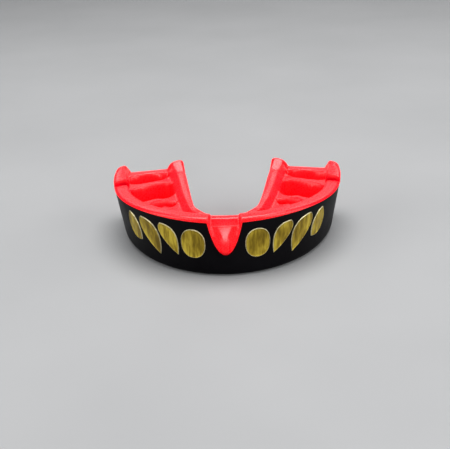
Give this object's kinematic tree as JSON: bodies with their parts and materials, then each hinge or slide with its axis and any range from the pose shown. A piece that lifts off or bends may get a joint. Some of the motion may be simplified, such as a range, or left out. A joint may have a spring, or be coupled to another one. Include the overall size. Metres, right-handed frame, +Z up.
{
  "type": "sports mouthguard",
  "caption": "Two-layer boil-and-bite mouthguard for the upper teeth: firm front shell with fang-shaped inlays, soft fitting liner with channel and centre tab.",
  "frame": {"origin": "centre of the box of the whole mouthguard, on the surface it stands on", "axes": "+Z up, out of the tooth channel; -Y the wearer's front, with the fangs and the centre tab; +X the right-hand side in a view from the front"},
  "size_m": [0.0648, 0.0476, 0.0169],
  "materials": {
    "shell": "near-black satin moulded elastomer",
    "liner": "saturated red satin soft fitting gel",
    "fang": "dull antique-gold metallic foil with faint upright streaks"
  },
  "bodies": {
    "root": {"outer_shell": "shell", "fit_liner": "liner", "fang_left_1": "fang", "fang_left_2": "fang", "fang_left_3": "fang", "fang_left_4": "fang", "fang_right_1": "fang", "fang_right_2": "fang", "fang_right_3": "fang", "fang_right_4": "fang"}
  },
  "joints": []
}
